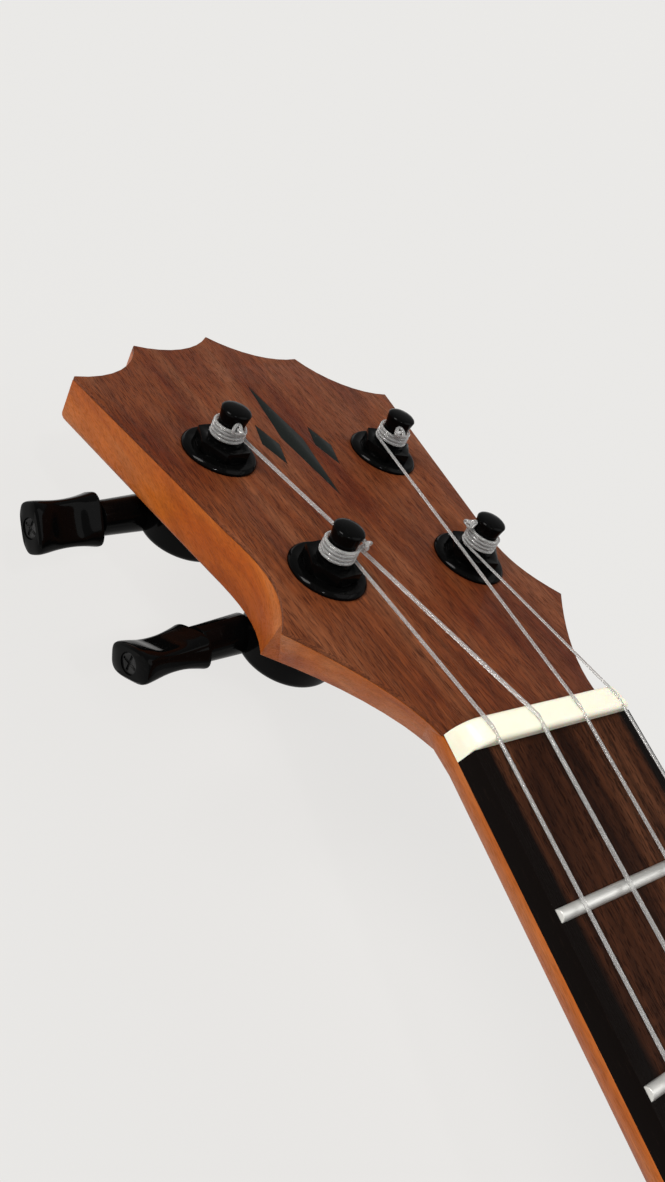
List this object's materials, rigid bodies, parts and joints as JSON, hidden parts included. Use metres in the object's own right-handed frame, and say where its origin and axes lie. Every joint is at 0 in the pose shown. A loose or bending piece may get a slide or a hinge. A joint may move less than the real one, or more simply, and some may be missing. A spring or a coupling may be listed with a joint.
{
  "type": "ukulele",
  "caption": "Tenor ukulele with a waisted hollow body, fretted neck, crowned tilted headstock and sealed worm-geared tuners that turn the string posts.",
  "frame": {"origin": "on the back's outer face, straight under the saddle, on the middle line", "axes": "+X to the treble side, +Y from the tail to the headstock, +Z out of the soundboard; the instrument lies on its back"},
  "size_m": [0.226, 0.6512, 0.0782],
  "materials": {
    "mahogany": "satin",
    "mahogany_neck": "satin",
    "face_veneer": "satin",
    "rosewood": "oiled satin",
    "spruce": "raw",
    "bone": "polished",
    "fret_metal": "polished",
    "string": "clear gloss",
    "tuner_shell": "gloss black",
    "tuner_button": "gloss black",
    "gear_steel": "machined",
    "gear_brass": "machined",
    "pearl": "polished",
    "dark_inlay": "satin"
  },
  "bodies": {
    "root": {"soundboard": "mahogany", "back_plate": "mahogany", "side_bass": "mahogany", "side_treble": "mahogany", "neck_block": "spruce", "tail_block": "spruce", "top_linings": "spruce", "back_linings": "spruce", "top_braces": "spruce", "back_braces": "spruce", "bridge_plate": "spruce", "rosette": "rosewood", "bridge": "rosewood", "saddle": "bone", "neck": "mahogany_neck", "headstock_veneer": "face_veneer", "headstock_inlay": "dark_inlay", "fingerboard": "rosewood", "frets": "fret_metal", "nut": "bone", "position_dots": "pearl", "heel_cap": "rosewood", "neck_bolt": "gear_steel", "neck_insert": "gear_brass", "string_g": "string", "string_c": "string", "string_e": "string", "string_a": "string", "tuner_covers": "tuner_button", "tuner_washers": "tuner_shell", "tuner_bushings": "tuner_shell", "tuner_mount_screws": "tuner_shell", "housing_g": "tuner_button", "housing_c": "tuner_button", "housing_e": "tuner_button", "housing_a": "tuner_button"},
    "button_g_turning": {"worm_g": "gear_steel", "button_g": "tuner_button", "button_screw_g": "gear_steel"},
    "post_g_turning": {"post_g": "tuner_shell", "wheel_g": "gear_brass", "winding_g": "string"},
    "button_c_turning": {"worm_c": "gear_steel", "button_c": "tuner_button", "button_screw_c": "gear_steel"},
    "post_c_turning": {"post_c": "tuner_shell", "wheel_c": "gear_brass", "winding_c": "string"},
    "button_e_turning": {"worm_e": "gear_steel", "button_e": "tuner_button", "button_screw_e": "gear_steel"},
    "post_e_turning": {"post_e": "tuner_shell", "wheel_e": "gear_brass", "winding_e": "string"},
    "button_a_turning": {"worm_a": "gear_steel", "button_a": "tuner_button", "button_screw_a": "gear_steel"},
    "post_a_turning": {"post_a": "tuner_shell", "wheel_a": "gear_brass", "winding_a": "string"}
  },
  "joints": [
    {"name": "button_g", "type": "hinge", "parent": "root", "child": "button_g_turning", "pos_m": [-0.01774, 0.47013, 0.0429], "axis": [-0.9903, -0.1344, 0.036], "continuous": true},
    {"name": "post_g", "type": "hinge", "parent": "root", "child": "post_g_turning", "pos_m": [-0.0171, 0.46982, 0.05934], "axis": [0, 0.2588, 0.9659], "continuous": true},
    {"name": "button_c", "type": "hinge", "parent": "root", "child": "button_c_turning", "pos_m": [-0.02054, 0.50065, 0.03473], "axis": [-0.9903, -0.1344, 0.036], "continuous": true},
    {"name": "post_c", "type": "hinge", "parent": "root", "child": "post_c_turning", "pos_m": [-0.0199, 0.50034, 0.05117], "axis": [0, 0.2588, 0.9659], "continuous": true},
    {"name": "button_e", "type": "hinge", "parent": "root", "child": "button_e_turning", "pos_m": [0.02054, 0.50065, 0.03473], "axis": [0.9903, -0.1344, 0.036], "continuous": true},
    {"name": "post_e", "type": "hinge", "parent": "root", "child": "post_e_turning", "pos_m": [0.0199, 0.50034, 0.05117], "axis": [0, 0.2588, 0.9659], "continuous": true},
    {"name": "button_a", "type": "hinge", "parent": "root", "child": "button_a_turning", "pos_m": [0.01774, 0.47013, 0.0429], "axis": [0.9903, -0.1344, 0.036], "continuous": true},
    {"name": "post_a", "type": "hinge", "parent": "root", "child": "post_a_turning", "pos_m": [0.0171, 0.46982, 0.05934], "axis": [0, 0.2588, 0.9659], "continuous": true}
  ],
  "couplings": [
    {"joint": "post_g", "follows": "button_g", "ratio": 0.071429},
    {"joint": "post_c", "follows": "button_c", "ratio": 0.071429},
    {"joint": "post_e", "follows": "button_e", "ratio": 0.071429},
    {"joint": "post_a", "follows": "button_a", "ratio": 0.071429}
  ]
}
